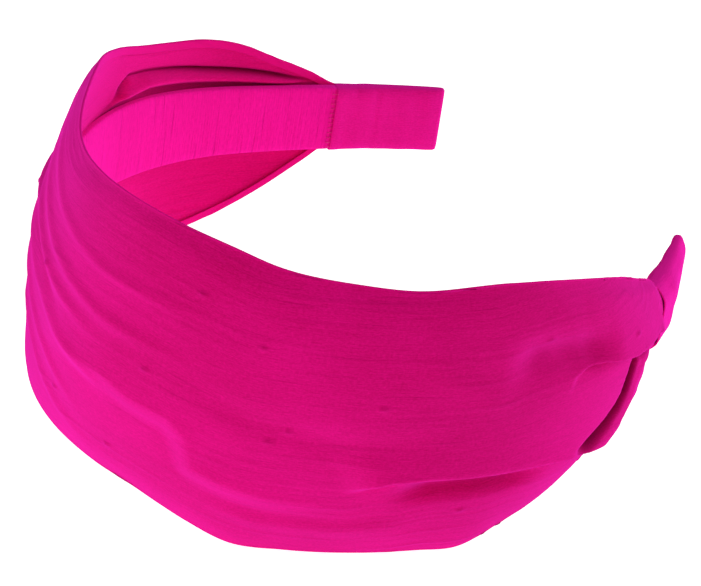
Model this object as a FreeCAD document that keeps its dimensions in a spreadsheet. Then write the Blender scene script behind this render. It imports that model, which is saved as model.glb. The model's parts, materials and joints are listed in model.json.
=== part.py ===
import FreeCAD
import Part
import Sketcher
import math
import os
import re

# A wide fabric headband: a springy plastic former bent to a C, a fabric cover sewn on round it, a
# padded sash that is wide over the crown, gathered to the former's width near each end and tucked
# into a closed sleeve, the cuff. The band is one flexible strip, so every piece that crosses the
# crown is built as two halves that meet at the middle plane, where the C opens. The right half is
# modelled and the left half is its mirror image.
#
# The band frame: the C lies in its XY plane, with the centre of the crown arc at the origin, the
# crown at -Y, the ends towards +Y and the middle plane at X = 0. Offsets across the strip are
# measured outwards from the centre line of the former. At rest the headband stands in balance on
# the lower edge of the sash, leaning back by a few degrees, with its lowest points at Z = 0, its
# ends clear of the ground and the bottom centre of its box at the origin.

SHEET = "Sizes"
PARTS_FOLDER = "parts"

SIZES = {
    # centre line of one half of the former
    "crown_radius": 69.0,
    "crown_angle": 109.0,
    "arm_radius": 220.0,
    "arm_angle": 13.7,
    "split_gap": 0.2,
    "rest_lean": 5.0,
    # former
    "former_thickness": 2.0,
    "former_width": 19.0,
    "former_end_width": 15.8,
    "former_corner": 4.0,
    # layers, and the room left between them
    "cloth": 0.4,
    "play": 0.1,
    "thread": 0.3,
    # sash: its edges above and below the centre line, at the crown and at the cuffs
    "sash_above": 37.5,
    "sash_below": 34.0,
    "sash_end": 8.4,
    "sash_bulge": 8.0,
    "sash_end_bulge": 2.4,
    "sash_tuck": 9.0,
    "interlining": 0.6,
    "hem": 2.65,
    # cuffs, and where the threads sit inside the cuff's mouth
    "cuff_length": 28.0,
    "cuff_shoulder": 12.0,
    "cuff_corner": 1.2,
    "cuff_thread_inset": 0.5,
    "gather_inset": 3.0,
}

# The sash narrows from the crown (t = 0) to the cuff (t = 1) as (1 - t ** reach) ** sharpness.
ABOVE_FALL = (1.5, 0.6)
BELOW_FALL = (4.0, 0.7)
BULGE_FALL = (3.0, 1.0)
SASH_STEPS = 32
INTERLINING_STEPS = 30
# The strip's width falls along Y from the front to the back of this multiple of the crown radius.
TAPER_REACH = 1.09
# Two directions closer than this, in radians, are the same.
SAME_ANGLE = 0.001
# Formulas: no thickness at all, and a length that reaches past every part of the headband.
NO_SKIN = "0 * play"
THROUGH_ALL = "crown_radius * 4"
QUARTER_TURN = 90

ORIGIN = FreeCAD.Vector(0, 0, 0)
ACROSS = FreeCAD.Vector(1, 0, 0)
UP = FreeCAD.Vector(0, 0, 1)
START, END, CENTRE = 1, 2, 3
ROOT_POINT = (-1, START)


# ---------------------------------------------------------------------------------------------
# Sheet
# ---------------------------------------------------------------------------------------------

def make_sheet():
    new_sheet = doc.addObject("Spreadsheet::Sheet", SHEET)
    for row, (alias, number) in enumerate(SIZES.items(), start=1):
        new_sheet.set("A%d" % row, alias.replace("_", " "))
        new_sheet.set("B%d" % row, str(number))
        new_sheet.setAlias("B%d" % row, alias)
    doc.recompute()
    return new_sheet


def size(alias):
    return float(sheet.get(alias))


def cells(formula):
    """A formula of aliases as an expression: every alias becomes a cell of the sheet."""

    def cell(match):
        word = match.group()
        return SHEET + "." + word if word in SIZES else word

    return re.sub("[a-z_]+", cell, formula)


def value(formula):
    return float(sheet.evalExpression(cells(formula)))


# ---------------------------------------------------------------------------------------------
# Sketches and bodies
# ---------------------------------------------------------------------------------------------

def new_sketch(body, name, role):
    """A sketch on one of the body's own origin planes."""
    sketch = body.newObject("Sketcher::SketchObject", name)
    plane = next(item for item in body.Origin.OriginFeatures if item.Role == role)
    sketch.AttachmentSupport = [(plane, "")]
    sketch.MapMode = "FlatFace"
    return sketch


def bind(sketch, formula, kind, *places):
    """Add a dimension and tie it to the sheet."""
    index = sketch.addConstraint(Sketcher.Constraint(kind, *places, value(formula)))
    sketch.setExpression("Constraints[%d]" % index, cells(formula))


def bind_angle(sketch, formula, line):
    index = sketch.addConstraint(Sketcher.Constraint("Angle", line, math.radians(value(formula))))
    sketch.setExpression("Constraints[%d]" % index, "(%s) * 1 deg" % cells(formula))


def bind_point(sketch, geometry, x_formula, y_formula):
    """Place the start of a line by its two coordinates."""
    bind(sketch, x_formula, "DistanceX", *ROOT_POINT, geometry, START)
    bind(sketch, y_formula, "DistanceY", *ROOT_POINT, geometry, START)


def join(sketch, *pairs):
    for one, other in pairs:
        sketch.addConstraint(Sketcher.Constraint("Coincident", *one, *other))


def closed_outline(sketch, corners):
    """A closed outline of straight lines through corners given as pairs of formulas."""
    points = [FreeCAD.Vector(value(x), value(y), 0) for x, y in corners]
    following = points[1:] + points[:1]
    lines = [sketch.addGeometry(Part.LineSegment(a, b)) for a, b in zip(points, following)]
    for line, after in zip(lines, lines[1:] + lines[:1]):
        join(sketch, ((line, END), (after, START)))
    for line, (x, y) in zip(lines, corners):
        bind_point(sketch, line, x, y)


def polar(radius, angle, centre=ORIGIN):
    """A point at an angle from the crown, which faces -Y, turning towards +X."""
    turn = math.radians(angle)
    return centre + FreeCAD.Vector(radius * math.sin(turn), -radius * math.cos(turn), 0)


def arm_centre():
    return polar(size("crown_radius") - size("arm_radius"), size("crown_angle"))


def arc(centre, radius, start, end):
    """An arc between two angles measured as in polar()."""
    circle = Part.Circle(centre, UP, radius)
    return Part.ArcOfCircle(circle, math.radians(start - QUARTER_TURN), math.radians(end - QUARTER_TURN))


def strip_sketch(body, half):
    """The plan of a strip that follows the former's centre line; half is its half thickness."""
    sketch = new_sketch(body, body.Name + "_plan", "XY_Plane")
    bend = size("crown_angle")
    end = bend + size("arm_angle")
    centre = arm_centre()
    outer, inner = value("crown_radius + " + half), value("crown_radius - (%s)" % half)
    arm_outer, arm_inner = value("arm_radius + " + half), value("arm_radius - (%s)" % half)
    split = math.degrees(size("split_gap") / 2 / size("crown_radius"))

    outer_crown = sketch.addGeometry(arc(ORIGIN, outer, split, bend))
    inner_crown = sketch.addGeometry(arc(ORIGIN, inner, split, bend))
    outer_arm = sketch.addGeometry(arc(centre, arm_outer, bend, end))
    inner_arm = sketch.addGeometry(arc(centre, arm_inner, bend, end))
    split_line = sketch.addGeometry(Part.LineSegment(polar(inner, split), polar(outer, split)))
    arm_inner_end, arm_outer_end = polar(arm_inner, end, centre), polar(arm_outer, end, centre)
    end_line = sketch.addGeometry(Part.LineSegment(arm_inner_end, arm_outer_end))
    bend_ray = sketch.addGeometry(Part.LineSegment(ORIGIN, polar(outer, bend)), True)
    end_ray = sketch.addGeometry(Part.LineSegment(centre, arm_outer_end), True)

    join(
        sketch,
        ((outer_crown, CENTRE), ROOT_POINT),
        ((inner_crown, CENTRE), ROOT_POINT),
        ((inner_arm, CENTRE), (outer_arm, CENTRE)),
        ((split_line, START), (inner_crown, START)),
        ((split_line, END), (outer_crown, START)),
        ((outer_arm, START), (outer_crown, END)),
        ((inner_arm, START), (inner_crown, END)),
        ((end_line, START), (inner_arm, END)),
        ((end_line, END), (outer_arm, END)),
        ((bend_ray, START), ROOT_POINT),
        ((bend_ray, END), (outer_crown, END)),
        ((end_ray, START), (outer_arm, CENTRE)),
        ((end_ray, END), (outer_arm, END)),
    )
    sketch.addConstraint(Sketcher.Constraint("Vertical", split_line))
    for geometry, place, ray in (
        (inner_crown, END, bend_ray),
        (outer_arm, CENTRE, bend_ray),
        (inner_arm, END, end_ray),
    ):
        sketch.addConstraint(Sketcher.Constraint("PointOnObject", geometry, place, ray))
    bind(sketch, "crown_radius + " + half, "Radius", outer_crown)
    bind(sketch, "crown_radius - (%s)" % half, "Radius", inner_crown)
    bind(sketch, "arm_radius + " + half, "Radius", outer_arm)
    bind(sketch, "split_gap / 2", "DistanceX", *ROOT_POINT, split_line, START)
    bind_angle(sketch, "crown_angle - %d" % QUARTER_TURN, bend_ray)
    bind_angle(sketch, "crown_angle + arm_angle - %d" % QUARTER_TURN, end_ray)
    return sketch


def pad(body, sketch, length):
    feature = body.newObject("PartDesign::Pad", body.Name + "_pad")
    feature.Profile = sketch
    feature.SideType = "Symmetric"
    feature.setExpression("Length", cells(length))
    return feature


def taper(body, extra):
    """Trim the strip's two long edges so that it narrows from the crown to the ends."""
    sketch = new_sketch(body, body.Name + "_side", "YZ_Plane")
    front = "- crown_radius * %s" % TAPER_REACH
    back = "crown_radius * %s" % TAPER_REACH
    for side in ("", "- "):
        closed_outline(sketch, (
            (front, side + "(former_width / 2 + %s)" % extra),
            (back, side + "(former_end_width / 2 + %s)" % extra),
            (back, side + "former_width"),
            (front, side + "former_width"),
        ))
    before = body.Shape.Volume
    pocket = body.newObject("PartDesign::Pocket", body.Name + "_taper")
    pocket.Profile = sketch
    pocket.SideType = "Symmetric"
    pocket.setExpression("Length", cells(THROUGH_ALL))
    doc.recompute()
    if body.Shape.Volume >= before:
        raise RuntimeError("the taper removes nothing from " + body.Name)
    return pocket


def round_corners(body, feature, edge_test, radius):
    """Fillet the feature's edges that pass the test."""
    edges = enumerate(feature.Shape.Edges, start=1)
    names = ["Edge%d" % number for number, edge in edges if edge_test(edge)]
    fillet = body.newObject("PartDesign::Fillet", body.Name + "_corners")
    fillet.Base = (feature, names)
    fillet.setExpression("Radius", cells(radius))
    doc.recompute()


def is_end_corner(edge):
    """True for the short edges through the strip's thickness, at the end of the arm."""
    end = polar(size("arm_radius"), size("crown_angle") + size("arm_angle"), arm_centre())
    along = polar(1, size("crown_angle") + size("arm_angle") + QUARTER_TURN)
    middle = edge.CenterOfMass
    return abs((middle - end).dot(along)) < size("play") and abs(middle.z) > size("former_end_width") / 4


def strip_body(name, extra):
    """A strip of the former's plan and taper, thicker and wider all round by extra."""
    body = doc.addObject("PartDesign::Body", name)
    sketch = strip_sketch(body, "former_thickness / 2 + " + extra)
    pad(body, sketch, "former_width + 4 * (%s)" % extra)
    doc.recompute()
    return body, taper(body, extra)


# ---------------------------------------------------------------------------------------------
# Former and its cover
# ---------------------------------------------------------------------------------------------

def make_former():
    body, tapered = strip_body("former_right", NO_SKIN)
    round_corners(body, tapered, is_end_corner, "former_corner")
    return body


def make_cover():
    """The fabric tube round the former, open at the end that the cuff closes."""
    blank, _ = strip_body("cover_blank", "(play + cloth)")
    hollow, _ = strip_body("cover_hollow", "play")
    return cut("cover_right", blank, hollow)


def cut(name, base, tool):
    result = doc.addObject("Part::Cut", name)
    result.Base = base
    result.Tool = tool
    return result


# ---------------------------------------------------------------------------------------------
# Cuff and the rings of thread in its mouth
# ---------------------------------------------------------------------------------------------

# Offsets of the cuff's cavity: the cover and one thread inside, the gathered sash and one thread
# outside, and above and below the wider of the two.
INNER_ROOM = "former_thickness / 2 + cloth + 3 * play + thread"
OUTER_ROOM = "former_thickness / 2 + cloth + 5 * play + sash_end_bulge + 2 * thread"
SIDE_ROOM = "(former_end_width + (former_width - former_end_width) / 4) / 2 + cloth + 3 * play + thread"
DEGREES_ON_ARM = " / arm_radius * 180 / pi"


def arm_placement(distance):
    """The frame at the arm's centre whose X axis points at a place on the arm.

    distance is how far that place lies before the end of the strip.
    """
    angle = size("crown_angle") + size("arm_angle") - math.degrees(distance / size("arm_radius"))
    return FreeCAD.Placement(arm_centre(), FreeCAD.Rotation(UP, angle - QUARTER_TURN))


def turn_of(point):
    return math.atan2(point.y, point.x)


def cuff_sketch(body, skin):
    """The plan of the cuff, from its mouth to its toe, in the frame of arm_placement().

    The outside follows the arm as far as the shoulder and then slopes in to the toe. skin is the
    thickness left out all round, so that the same plan gives the sleeve and its cavity.
    """
    sketch = new_sketch(body, body.Name + "_plan", "XY_Plane")
    inner = "arm_radius - (%s + cloth) + %s" % (INNER_ROOM, skin)
    outer = "arm_radius + %s + cloth - %s" % (OUTER_ROOM, skin)
    toe = "arm_radius + %s + cloth - %s" % (INNER_ROOM, skin)
    mouth_turn = "-(%s)" % skin + DEGREES_ON_ARM
    shoulder_turn = "cuff_shoulder" + DEGREES_ON_ARM
    toe_turn = toe_formula(skin)
    corners = (
        (inner, mouth_turn),
        (outer, mouth_turn),
        (outer, shoulder_turn),
        (toe, toe_turn),
        (inner, toe_turn),
    )
    polar_formulas = ("(%s) * cos((%s) * 1 deg)", "(%s) * sin((%s) * 1 deg)")
    formulas = [tuple(formula % corner for formula in polar_formulas) for corner in corners]
    points = [FreeCAD.Vector(value(x), value(y), 0) for x, y in formulas]

    def curve(first, last):
        circle = Part.Circle(ORIGIN, UP, points[first].Length)
        return Part.ArcOfCircle(circle, turn_of(points[first]), turn_of(points[last]))

    mouth = sketch.addGeometry(Part.LineSegment(points[0], points[1]))
    outside = sketch.addGeometry(curve(1, 2))
    slope = sketch.addGeometry(Part.LineSegment(points[2], points[3]))
    end = sketch.addGeometry(Part.LineSegment(points[3], points[4]))
    inside = sketch.addGeometry(curve(0, 4))
    join(
        sketch,
        ((mouth, END), (outside, START)),
        ((outside, END), (slope, START)),
        ((slope, END), (end, START)),
        ((end, END), (inside, END)),
        ((inside, START), (mouth, START)),
        ((outside, CENTRE), ROOT_POINT),
        ((inside, CENTRE), ROOT_POINT),
    )
    bind_point(sketch, slope, *formulas[2])
    bind_point(sketch, end, *formulas[3])
    bind(sketch, inner, "Radius", inside)
    for geometry, place, turn in ((mouth, START, mouth_turn), (mouth, END, mouth_turn), (end, END, toe_turn)):
        ray = sketch.addGeometry(Part.LineSegment(ORIGIN, sketch.getPoint(geometry, place)), True)
        join(sketch, ((ray, START), ROOT_POINT), ((ray, END), (geometry, place)))
        bind_angle(sketch, turn, ray)
    return sketch


def toe_formula(skin):
    """The angle at the arm's centre between the cuff's mouth and its toe, in degrees."""
    return "(cuff_length - %s)" % skin + DEGREES_ON_ARM


def cuff_body(name, skin):
    """The cuff as a solid block with rounded toe corners, smaller all round by skin."""
    body = doc.addObject("PartDesign::Body", name)
    block = pad(body, cuff_sketch(body, skin), "2 * (%s + cloth - %s)" % (SIDE_ROOM, skin))
    doc.recompute()

    def is_toe_corner(edge):
        middle = edge.CenterOfMass
        at_toe = abs(turn_of(middle) - math.radians(value(toe_formula(skin)))) < SAME_ANGLE
        return at_toe and abs(middle.z) > size("cuff_corner")

    round_corners(body, block, is_toe_corner, "cuff_corner - %s" % skin)
    return body


def make_cuff():
    blank = cuff_body("cuff_blank", NO_SKIN)
    hollow = cuff_body("cuff_hollow", "cloth")
    return cut("cuff_right", blank, hollow)


def make_ring(name):
    """A closed turn of thread round the cover and the gathered sash, in the cuff's mouth."""
    body = doc.addObject("PartDesign::Body", name)
    sketch = new_sketch(body, name + "_plan", "XZ_Plane")
    for skin in (NO_SKIN, "thread"):
        left = "arm_radius - (%s) + play + %s" % (INNER_ROOM, skin)
        right = "arm_radius + %s - play - %s" % (OUTER_ROOM, skin)
        top = "%s - play - %s" % (SIDE_ROOM, skin)
        bottom = "-(%s)" % top
        closed_outline(sketch, ((left, bottom), (right, bottom), (right, top), (left, top)))
    pad(body, sketch, "thread")
    return body


# ---------------------------------------------------------------------------------------------
# Sash
# ---------------------------------------------------------------------------------------------

def crown_length():
    return size("crown_radius") * math.radians(size("crown_angle"))


def mouth_distance():
    """How far along the centre line, from the middle plane, the cuff's mouth is."""
    arm_length = size("arm_radius") * math.radians(size("arm_angle"))
    return crown_length() + arm_length - value("cuff_length - cloth - play")


def fall(t, reach_and_sharpness):
    reach, sharpness = reach_and_sharpness
    return max(0.0, 1 - t ** reach) ** sharpness


def station(distance):
    """Where a distance along the centre line is, and the direction outwards there."""
    if distance <= crown_length():
        angle = math.degrees(distance / size("crown_radius"))
        place = polar(size("crown_radius"), angle)
    else:
        angle = size("crown_angle") + math.degrees((distance - crown_length()) / size("arm_radius"))
        place = polar(size("arm_radius"), angle, arm_centre())
    return place, polar(1, angle)


class Section:
    """The sash's section across the strip at one station; t runs from the crown to the cuff."""

    def __init__(self, distance):
        t = min(1.0, distance / mouth_distance())
        end = size("sash_end")
        self.above = end + (size("sash_above") - end) * fall(t, ABOVE_FALL)
        self.below = end + (size("sash_below") - end) * fall(t, BELOW_FALL)
        flat = size("sash_end_bulge")
        self.bulge = flat + (size("sash_bulge") - flat) * fall(t, BULGE_FALL)
        self.seat = value("former_thickness / 2 + cloth + 3 * play + thread")
        self.place, self.outwards = station(distance)
        if distance == 0:
            self.place = self.place + ACROSS * size("split_gap") / 2
        half_chord = (self.above + self.below) / 2
        self.radius = (half_chord ** 2 + self.bulge ** 2) / (2 * self.bulge)
        self.middle = (self.above - self.below) / 2

    def point(self, offset, height):
        return self.place + self.outwards * offset + UP * height

    def curve(self, inset, foot):
        """Three points of the arc that lies inset inside the sash's face, from offset foot."""
        radius = self.radius - inset
        centre = self.seat + self.bulge - self.radius
        half = math.sqrt(radius ** 2 - (foot - centre) ** 2)
        return (
            self.point(foot, self.middle - half),
            self.point(centre + radius, self.middle),
            self.point(foot, self.middle + half),
        )

    def crescent(self, inset, thickness, foot):
        """A curved layer of the sash."""
        low, crest, high = self.curve(inset, foot)
        inner_low, inner_crest, inner_high = self.curve(inset + thickness, foot)
        return Part.Wire([
            Part.Arc(low, crest, high).toShape(),
            Part.LineSegment(high, inner_high).toShape(),
            Part.Arc(inner_high, inner_crest, inner_low).toShape(),
            Part.LineSegment(inner_low, low).toShape(),
        ])

    def face(self):
        return self.crescent(0, size("cloth"), self.seat)

    def interlining(self):
        foot = self.seat + value("cloth + 4 * play")
        return self.crescent(value("cloth + play"), size("interlining"), foot)

    def lining(self):
        outer = self.seat + size("cloth")
        low, high = size("hem") - self.below, self.above - size("hem")
        return Part.makePolygon([
            self.point(self.seat, low),
            self.point(outer, low),
            self.point(outer, high),
            self.point(self.seat, high),
            self.point(self.seat, low),
        ])

    def strand(self, offset, height):
        """A thread that runs along the strip, inside the sash's hem or under its lining."""
        circle = Part.Circle(self.point(offset, height), self.outwards.cross(UP), size("thread") / 2)
        return Part.Wire(circle.toShape())

    def upper_thread(self):
        return self.strand(self.seat + value("thread / 2 + play"), self.above - value("hem - thread"))

    def lower_thread(self):
        return self.strand(self.seat + value("thread / 2 + play"), value("hem - thread") - self.below)

    def seam_thread(self):
        return self.strand(self.seat - value("thread / 2 + play"), 0)


def sash_sections(steps, tuck):
    """Sections from the middle plane to the cuff's mouth and, with tuck, on under the cuff."""
    sections = [Section(mouth_distance() * step / SASH_STEPS) for step in range(steps + 1)]
    if tuck:
        sections.append(Section(mouth_distance() + size("sash_tuck")))
    return sections


def make_layer(name, outline, steps=SASH_STEPS, tuck=True):
    """One layer of the sash, lofted through its outlines because its section changes all along."""
    layer = doc.addObject("Part::Feature", name)
    wires = [outline(section) for section in sash_sections(steps, tuck)]
    layer.Shape = Part.makeLoft(wires, True, True)
    return layer


# ---------------------------------------------------------------------------------------------
# Placement, halves and files
# ---------------------------------------------------------------------------------------------

def rest_placement(cuff):
    """The lean, and the shift that puts the bottom centre of the leaning headband at the origin.

    The sash's crest is its back, the cuff's toe its front and the sash's lower edge its bottom.
    """
    lean = FreeCAD.Placement(ORIGIN, FreeCAD.Rotation(ACROSS, -size("rest_lean")))
    sections = sash_sections(SASH_STEPS, False)
    crest = sections[0].curve(0, sections[0].seat)[1]
    back = lean.multVec(crest).y
    front = max(lean.multVec(corner.Point).y for corner in cuff.Shape.Vertexes)
    edge = [section.point(section.seat, -section.below) for section in sections]
    bottom = min(lean.multVec(point).z for point in edge)
    return FreeCAD.Placement(FreeCAD.Vector(0, -(back + front) / 2, -bottom), lean.Rotation)


def mirrored(right):
    left = doc.addObject("Part::Mirroring", right.Name.replace("right", "left"))
    left.Source = right
    left.Normal = ACROSS
    left.Base = ORIGIN
    return left


def check(objects):
    doc.recompute()
    for item in doc.Objects:
        if "Invalid" in item.State or "Error" in item.State:
            raise RuntimeError("%s failed: %s" % (item.Name, item.State))
    for item in objects:
        shape = item.Shape
        if shape.isNull() or not shape.isValid() or shape.Volume <= 0:
            raise RuntimeError(item.Name + " has no valid solid")


def export(objects):
    os.makedirs(PARTS_FOLDER, exist_ok=True)
    for item in objects:
        item.Shape.exportStep(os.path.join(PARTS_FOLDER, item.Label + ".step"))


doc = FreeCAD.newDocument("headband")
sheet = make_sheet()

cuff = make_cuff()
cuff.Placement = arm_placement(value("cuff_length - cloth - play"))
cuff_thread = make_ring("cuff_thread_right")
cuff_thread.Placement = arm_placement(value("cuff_length - cloth - play - cuff_thread_inset"))
gather_thread = make_ring("gather_thread_right")
gather_thread.Placement = arm_placement(value("cuff_length - cloth - play - gather_inset"))

right_parts = [
    make_former(),
    make_cover(),
    make_layer("sash_face_right", Section.face),
    make_layer("sash_interlining_right", Section.interlining, INTERLINING_STEPS, False),
    make_layer("sash_lining_right", Section.lining),
    make_layer("upper_edge_thread_right", Section.upper_thread),
    make_layer("lower_edge_thread_right", Section.lower_thread),
    make_layer("cover_seam_thread_right", Section.seam_thread),
    cuff,
    cuff_thread,
    gather_thread,
]
doc.recompute()
rest = rest_placement(cuff)
for part in right_parts:
    part.Placement = rest * part.Placement
doc.recompute()

parts = right_parts + [mirrored(part) for part in right_parts]
for part in parts:
    part.Label = part.Name
check(parts)
export(parts)
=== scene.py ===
import json
import math

import bpy
import numpy as np
from mathutils import Euler, Matrix, Vector


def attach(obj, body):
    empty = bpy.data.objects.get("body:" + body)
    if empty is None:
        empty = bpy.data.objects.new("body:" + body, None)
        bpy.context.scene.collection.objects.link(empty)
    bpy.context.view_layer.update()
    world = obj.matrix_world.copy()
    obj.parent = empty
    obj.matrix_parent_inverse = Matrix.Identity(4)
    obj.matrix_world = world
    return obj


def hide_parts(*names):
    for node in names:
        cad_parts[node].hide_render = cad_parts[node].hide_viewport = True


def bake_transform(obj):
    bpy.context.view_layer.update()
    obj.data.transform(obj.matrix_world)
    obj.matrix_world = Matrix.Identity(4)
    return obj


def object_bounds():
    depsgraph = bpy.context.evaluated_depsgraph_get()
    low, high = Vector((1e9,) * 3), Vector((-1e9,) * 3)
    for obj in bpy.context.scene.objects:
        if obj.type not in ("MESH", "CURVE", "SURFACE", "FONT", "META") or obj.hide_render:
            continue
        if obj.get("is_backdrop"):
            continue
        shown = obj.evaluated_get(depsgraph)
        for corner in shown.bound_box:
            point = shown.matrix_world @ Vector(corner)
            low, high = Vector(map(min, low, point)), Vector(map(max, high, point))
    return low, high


# A wide silk headband. Every soft piece is laid out on the band's own coordinates, in millimetres:
# distance along the former from the middle of the crown (positive on the right half), offset
# outwards from the former's centre line, and height above it.

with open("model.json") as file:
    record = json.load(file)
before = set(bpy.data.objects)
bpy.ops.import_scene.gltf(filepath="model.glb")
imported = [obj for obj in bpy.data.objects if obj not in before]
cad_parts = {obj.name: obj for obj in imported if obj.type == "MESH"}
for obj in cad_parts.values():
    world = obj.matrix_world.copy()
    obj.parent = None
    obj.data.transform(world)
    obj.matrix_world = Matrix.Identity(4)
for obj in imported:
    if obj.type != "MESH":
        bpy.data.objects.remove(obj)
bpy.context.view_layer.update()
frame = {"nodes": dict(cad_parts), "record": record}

MM = 0.001

# The former's centre line, and how the band frame sits in the row frame.
CROWN_RADIUS = 69.0
CROWN_ANGLE = math.radians(109)
ARM_RADIUS = 220.0
CROWN_LENGTH = CROWN_RADIUS * CROWN_ANGLE
ARM_CENTRE = (
    (CROWN_RADIUS - ARM_RADIUS) * math.sin(CROWN_ANGLE),
    (ARM_RADIUS - CROWN_RADIUS) * math.cos(CROWN_ANGLE),
)
STRIP_END = 183.87
CUFF_MOUTH = 156.37
CUFF_TOE = 184.37
HEAD = frame["record"]["mounts"][0]
BAND_ORIGIN = np.array(HEAD["pos_m"]) / MM
ACROSS = np.array([1.0, 0.0, 0.0])
UPWARDS = np.array(HEAD["axis"])
FORWARDS = np.cross(UPWARDS, ACROSS)

# The sash's outline, as (distance along, value) pairs: the heights of its two edges above and below
# the centre line, and the outward offsets of those edges and of its crest.
TOP_EDGE = (
    (-166, 8), (-156, 8.4), (-150, 11.6), (-140, 16), (-130, 20.4), (-120, 22.9), (-110, 24),
    (-100, 25.8), (-90, 28.7), (-70, 33.7), (-50, 33.5), (-31, 32.1), (-10, 34.6), (0, 35.5),
    (20, 34.9), (30, 34.0), (40, 32.5), (60, 31.8), (70, 31.3), (90, 32), (110, 29.1), (130, 22.7),
    (140, 18), (150, 13), (156, 8.4), (166, 8),
)
LOW_EDGE = (
    (-166, 8), (-156, 8.4), (-150, 13), (-140, 20.2), (-130, 25.8), (-110, 31.7), (-94, 33.4),
    (-62, 35.4), (-31, 35.1), (0, 34.4), (12, 34.6), (20, 36), (27, 37.5), (38, 39.5), (50, 38),
    (80, 35.6), (90, 35.6), (100, 31.6), (112, 27.6), (125, 22.4), (140, 14.5), (150, 9.4),
    (156, 8.2), (166, 8),
)
TOP_OFFSET = (
    (-166, 2), (-125, 1.5), (-94, 0.3), (-62, -4.6), (-31, -2.2), (0, 2.0), (31, 1.5), (62, 1.9),
    (94, 1.5), (125, 2), (166, 2),
)
LOW_OFFSET = (
    (-166, 2), (-125, 1.6), (-94, 1.9), (-62, 2.2), (-31, 1.9), (0, 1.6), (31, 1.1), (62, 1.7),
    (94, 2.1), (125, 2), (144, 2.6), (166, 2),
)
CREST = (
    (-166, 4.2), (-156, 4.4), (-144, 7), (-125, 7.8), (-94, 4.8), (-78, 3.0), (-62, 2.4), (-31, 4.5),
    (0, 9), (31, 9), (62, 8.8), (94, 8.6), (125, 8), (144, 5.6), (150, 4.6), (156, 4.4), (166, 4.2),
)

# The bulge of the sash's section is 1 - |height| ** power. The power grows in the cuffs, and is less
# in the upper half where the crown turns into the left arm.
SECTION_POWER = 2.2
FILL_POWER = 1.2
FILL_START = 142
FILL_REACH = 12
FLAT_POWER = 1.05
FLAT_PLACE = -50
FLAT_REACH = 20

SILK_THICKNESS = 0.25
LINING_THICKNESS = 0.14
WADDING_THICKNESS = 0.2
HEM_DEPTH = 1.8
EDGE_ROLL = 0.35
LINING_INSET = 0.7
FOLD_ROOM = 0.7
THREAD_INSET = 0.3


# ---------------------------------------------------------------------------------------------
# Band coordinates
# ---------------------------------------------------------------------------------------------

def smooth(t):
    t = np.clip(t, 0, 1)
    return t * t * (3 - 2 * t)


def spline(x, knots):
    """A smooth curve through (place, value) knots."""
    places, values = np.asarray(knots, float).T
    x = np.clip(x, places[0], places[-1])
    i = np.clip(np.searchsorted(places, x, side="right") - 1, 0, len(places) - 2)
    slope = np.gradient(values, places)
    span = places[i + 1] - places[i]
    t = (x - places[i]) / span
    rise = values[i + 1] - values[i]
    hump = t * (1 - t) * span * (slope[i] * (1 - t) - slope[i + 1] * t)
    return values[i] + rise * t * t * (3 - 2 * t) + hump


def place(along, out, up):
    """Points of the row frame, in metres, at band coordinates in millimetres."""
    along, out, up = np.broadcast_arrays(*(np.asarray(c, float) for c in (along, out, up)))
    distance = np.abs(along)
    side = np.where(along < 0, -1.0, 1.0)
    on_crown = distance <= CROWN_LENGTH
    arm_turn = CROWN_ANGLE + (distance - CROWN_LENGTH) / ARM_RADIUS
    turn = np.where(on_crown, distance / CROWN_RADIUS, arm_turn)
    radius = np.where(on_crown, CROWN_RADIUS, ARM_RADIUS) + out
    x = side * (np.where(on_crown, 0, ARM_CENTRE[0]) + radius * np.sin(turn))
    y = np.where(on_crown, 0, ARM_CENTRE[1]) - radius * np.cos(turn)
    point = BAND_ORIGIN + x[..., None] * ACROSS + y[..., None] * FORWARDS + up[..., None] * UPWARDS
    return point * MM


def outline(along):
    """The sash's edge heights, edge offsets and crest offset at these distances."""
    curves = (TOP_EDGE, LOW_EDGE, TOP_OFFSET, LOW_OFFSET, CREST)
    return tuple(spline(along, knots) for knots in curves)


# ---------------------------------------------------------------------------------------------
# Folds: each follows a path of (along, height) points
# ---------------------------------------------------------------------------------------------

def path_distance(along, up, path):
    """Distance from a path, signed (positive above it as it runs from left to right), and the
    share of the path's length passed at the nearest point."""
    points = np.asarray(path, float)
    steps = np.diff(points, axis=0)
    lengths = np.hypot(steps[:, 0], steps[:, 1])
    passed = np.concatenate([[0], np.cumsum(lengths)])
    best = np.full(along.shape, 1e9)
    signed = np.zeros(along.shape)
    share = np.zeros(along.shape)
    for start, step, length, before in zip(points, steps, lengths, passed):
        dx = along - start[0]
        dy = up - start[1]
        t = np.clip((dx * step[0] + dy * step[1]) / length ** 2, 0, 1)
        gap = np.hypot(dx - t * step[0], dy - t * step[1])
        side = np.where(step[0] * dy - step[1] * dx >= 0, 1.0, -1.0)
        nearer = gap < best
        best = np.where(nearer, gap, best)
        signed = np.where(nearer, side * gap, signed)
        share = np.where(nearer, (before + t * length) / passed[-1], share)
    return signed, share


def fade(share, start, end):
    """1 along a path, falling to 0 over the shares start and end of its length."""
    rise = smooth(share / start) if start else 1.0
    drop = smooth((1 - share) / end) if end else 1.0
    return rise * drop


def ridge(along, up, path, height, width, start=0.3, end=0.3):
    gap, share = path_distance(along, up, path)
    return height * np.exp(-(gap / width) ** 2) * fade(share, start, end)


def step(along, up, path, height, edge, reach, start=0.3, end=0.3):
    """A fold that stands up sharply along its path and sinks back slowly on the upper side."""
    gap, share = path_distance(along, up, path)
    profile = smooth(gap / edge + 1) * np.exp(-np.maximum(gap, 0) / reach)
    return height * profile * fade(share, start, end)


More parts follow.
